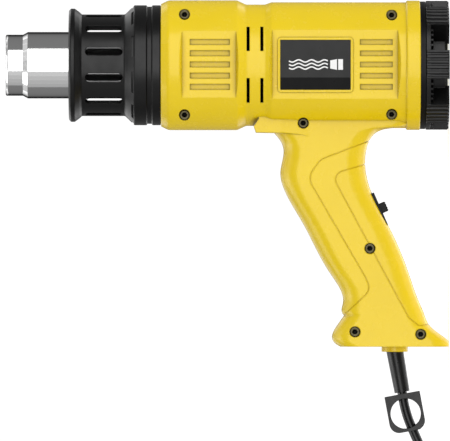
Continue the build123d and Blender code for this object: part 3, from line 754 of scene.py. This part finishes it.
def switch_print():
    """A blue step marked I and a red one marked II, with a 0 at the other end."""
    bm = bmesh.new()
    patch(bm, [(-3.1, -2.8), (3.1, -2.8), (4.1, 3.3), (-4.1, 3.3)], switch_place)
    printed("switch_print_one", bm, "root", "switch_label_film", BLUE_PRINT)
    bm = bmesh.new()
    patch(bm, [(-4.1, 3.3), (4.1, 3.3), (5.5, 8.0), (-5.5, 8.0)], switch_place)
    printed("switch_print_two", bm, "root", "switch_label_film", RED_PRINT)
    bm = bmesh.new()
    ribbon(bm, [(0, -0.4), (0, 2.4)], 1.0, switch_mark_place)
    for side in (-1.3, 1.3):
        ribbon(bm, [(side, 4.5), (side, 7.2)], 1.0, switch_mark_place)
    nought = [(0.9 * u, -5.6 + 1.4 * v) for u, v in arc(1.0, 0, 360, 24)]
    ribbon(bm, nought, 0.5, switch_mark_place)
    printed("switch_print_marks", bm, "root", "switch_label_film", WHITE_PRINT)


def plate_place(u, v):
    """From millimetres towards the outlet and up, from the plate's middle, to its face."""
    return Vector((v / 1000, PLATE_Y - PRINT, (PLATE_Z[0] + PLATE_Z[1]) / 2 + u / 1000))


def plate_print():
    """A darker foot on the plate, and a sign of warm air leaving a nozzle."""
    bm = bmesh.new()
    low, high = PLATE_X[0] * 1000, PLATE_STEP_X * 1000
    half = (PLATE_Z[1] - PLATE_Z[0]) * 500
    corner = 0.8
    outline = [(-half, high)] + arc(corner, 180, 270, 6, (corner - half, low + corner))
    outline += arc(corner, 270, 360, 6, (half - corner, low + corner)) + [(half, high)]
    patch(bm, outline, plate_place)
    printed("plate_foot", bm, "root", "plate_grey", PLATE_DARK)
    bm = bmesh.new()
    for level in (-2.0, 0.0, 2.0):
        wave = [(-7 + 22 * k / 48, level + 0.65 * math.sin(k * math.pi / 8)) for k in range(49)]
        ribbon(bm, wave, 0.75, plate_place)
    patch(bm, [(-8.4, -2.3), (-8.4, 2.3), (-12.2, 3.0), (-12.2, -3.0)], plate_place)
    patch(bm, [(-12.9, -3.0), (-12.9, 3.0), (-15.6, 3.0), (-15.6, -3.0)], plate_place)
    printed("plate_sign", bm, "root", "plate_grey", WHITE_PRINT)


def heater_wire():
    """Ten coiled heating wires, one in each channel of the ceramic core."""
    data = bevelled_curve("heater_coils", WIRE_D / 2, 2)
    steps = 12
    count = WIRE_TURNS * steps
    for coil in range(WIRE_COILS):
        centre = Vector((*polar(WIRE_RING_R, 360 * coil / WIRE_COILS), WIRE_Z[0]))
        spline = data.splines.new("POLY")
        spline.points.add(count)
        for k, point in enumerate(spline.points):
            risen = (WIRE_Z[1] - WIRE_Z[0]) * k / count
            swing = Vector((*polar(WIRE_COIL_R, 360 * k / steps), risen))
            point.co = (*(centre + swing), 1)
    piece = add("heater_coils", data, "root", "heater_wire")
    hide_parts("heating_element")


def plug_sections():
    """How far along, half width, half height and squareness, in millimetres."""
    sections = []
    for k in range(15):
        outer = 3.7 + 1.8 * k / 14
        radius = outer if k % 2 else outer - 0.6
        sections.append((0.2 + k, radius, radius, 2.0))
    sections += [(15.2, 6.6, 5.6, 2.3), (17.5, 8.6, 6.2, 2.7), (20.0, 10.6, 6.8, 3.2)]
    for k in range(9):
        waist = 0.9 * math.sin(math.pi * k / 8)
        ridge = 0.35 if k % 2 else 0.0
        sections.append((21.5 + k * 1.6, 11.9 - waist + ridge, 7.1, 3.8))
    sections += [(36.2, 12.5, 7.2, 4.2), (38.6, 12.6, 7.2, 4.4)]
    return sections + [(39.6, 12.4, 7.0, 4.4), (40.0, 11.9, 6.6, 4.4)]


def plug():
    """A moulded plug with a ribbed sleeve, a waisted grip and a soft front edge."""
    circle = arc(1.0, 0, 360, 48)[:-1]
    loops = []
    for along, half_y, half_z, power in plug_sections():
        loop = []
        for c, s in circle:
            y = half_y * math.copysign(abs(c) ** (2 / power), c)
            z = half_z * math.copysign(abs(s) ** (2 / power), s)
            loop.append(PLUG_START + Vector((along, y, z)) / 1000)
        loops.append(loop)
    bm = bmesh.new()
    loft(bm, loops, smooth=True)
    piece = add("moulded_plug", mesh_from(bm, "moulded_plug"), "root", "cord_rubber")
    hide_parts("plug_body")


# ---------------------------------------------------------------- stage

LIGHT_AIM = Vector((0.0, 0.0, 0.14))
ROOM_LIGHT = 0.62
MIRRORED_LIGHT = 0.225
SEEN_LIGHT = 1.05


def panel_light(name, azimuth, elevation, distance, width, height, radiance, part):
    """A soft panel that faces the gun and serves its "matt" or its "gloss" shading.

    Azimuth 0 is in front of the gun's left side (-Y) and grows towards +X. Elevation
    grows towards the outlet. Angles are in degrees and sizes in metres.
    """
    a = math.radians(azimuth)
    e = math.radians(elevation)
    out = Vector((math.sin(a) * math.cos(e), -math.cos(a) * math.cos(e), math.sin(e)))
    data = bpy.data.lights.new(name, "AREA")
    data.shape = "RECTANGLE"
    data.size = width
    data.size_y = height
    data.energy = math.pi * width * height * radiance
    light = bpy.data.objects.new(name, data)
    SCENE.collection.objects.link(light)
    light.location = LIGHT_AIM + out * distance
    light.rotation_euler = (-out).to_track_quat("-Z", "Y").to_euler()
    light.visible_camera = False
    light.visible_glossy = part == "gloss"
    light.visible_diffuse = part == "matt"


def world():
    """White to the eye, and a soft even room for everything else."""
    made = bpy.data.worlds.new("studio")
    SCENE.world = made
    made.use_nodes = True
    tree = made.node_tree
    path = tree.nodes.new("ShaderNodeLightPath")
    room = tree.nodes["Background"]
    mirrored = tree.nodes.new("ShaderNodeBackground")
    seen = tree.nodes.new("ShaderNodeBackground")
    strengths = ((room, ROOM_LIGHT), (mirrored, MIRRORED_LIGHT), (seen, SEEN_LIGHT))
    for background, strength in strengths:
        background.inputs["Color"].default_value = (1, 1, 1, 1)
        background.inputs["Strength"].default_value = strength
    shown = room
    for ray, background in (("Is Glossy Ray", mirrored), ("Is Camera Ray", seen)):
        mix = tree.nodes.new("ShaderNodeMixShader")
        tree.links.new(path.outputs[ray], mix.inputs[0])
        tree.links.new(shown.outputs[0], mix.inputs[1])
        tree.links.new(background.outputs[0], mix.inputs[2])
        shown = mix
    tree.links.new(shown.outputs[0], tree.nodes["World Output"].inputs["Surface"])


def floor():
    """A pale floor that throws no shade on the gun and shows in none of its gloss."""
    bm = bmesh.new()
    bmesh.ops.create_grid(bm, x_segments=8, y_segments=8, size=6.0)
    mesh = mesh_from(bm, "floor")
    piece = bpy.data.objects.new("floor", mesh)
    SCENE.collection.objects.link(piece)
    shader = Shader("pale_floor")
    shader.set(Roughness=0.9, Specular_IOR_Level=0.0)
    shader.colour(grey(0.78), grey(0.80), shader.noise(3, 2))
    shader.set(Emission_Color=(1, 1, 1, 1), Emission_Strength=ROOM_LIGHT)
    mesh.materials.append(shader.material)
    piece.location.z = -0.00005
    piece.visible_glossy = False
    piece.visible_shadow = False


def camera():
    """Far off the gun's left side, with the outlet to the left."""
    data = bpy.data.cameras.new("camera")
    data.lens = CAMERA_LENS
    data.clip_start = 0.05
    data.clip_end = 40
    made = bpy.data.objects.new("camera", data)
    SCENE.collection.objects.link(made)
    turned = Matrix(((0, 1, 0), (0, 0, -1), (-1, 0, 0))).to_4x4()
    made.matrix_world = Matrix.Translation(CAMERA_PLACE) @ turned
    SCENE.camera = made


def gloss_panels():
    """A broad soft box in front, dim panels below it, and others that light edges."""
    panel_light("softbox", 18.0, 2.0, 1.65, 2.75, 0.95, 2.6, "gloss")
    for azimuth, radiance in ((-30.0, 0.48), (-45.0, 0.38), (-60.0, 0.31), (-75.0, 0.26)):
        panel_light("low_side", azimuth, 2.0, 1.7, 0.46, 1.2, radiance, "gloss")
    panel_light("collar", 0.0, 57.3, 1.7, 1.1, 0.2, 0.55, "gloss")
    for azimuth, elevation in ((41.5, 54.4), (77.0, 46.8), (106.7, 36.6)):
        for side in (-1, 1):
            panel_light("collar", side * azimuth, elevation, 1.7, 1.1, 0.34, 0.55, "gloss")
    for side in (-1, 1):
        for elevation in (34.0, -34.0):
            panel_light("rim", side * 150.0, elevation, 1.7, 1.3, 1.2, 1.2, "gloss")
    panel_light("grip_edge", -70.0, 64.0, 1.7, 1.0, 1.1, 2.0, "gloss")
    panel_light("front_edge", 0.0, 92.0, 1.7, 1.6, 1.7, 1.6, "gloss")
    panel_light("tail_edge", 0.0, -112.0, 1.7, 1.5, 2.6, 1.2, "gloss")


def matt_panels():
    """One panel in front, one over the gun as the camera sees it, and one behind."""
    panel_light("front", 20.0, 12.0, 1.65, 2.4, 2.0, 0.50, "matt")
    panel_light("overhead", 80.0, 10.0, 1.6, 1.8, 1.8, 0.30, "matt")
    panel_light("back", 170.0, 38.0, 1.9, 2.2, 0.9, 0.4, "matt")


def stage():
    world()
    floor()
    camera()
    gloss_panels()
    matt_panels()
    SCENE.view_settings.view_transform = "Standard"
    SCENE.view_settings.look = "None"


stage()
dress_nodes()
socket_screws()
dial_print()
switch_button()
switch_film()
switch_print()
plate_print()
heater_wire()
plug()
cord = mains_cord()

bpy.context.view_layer.update()
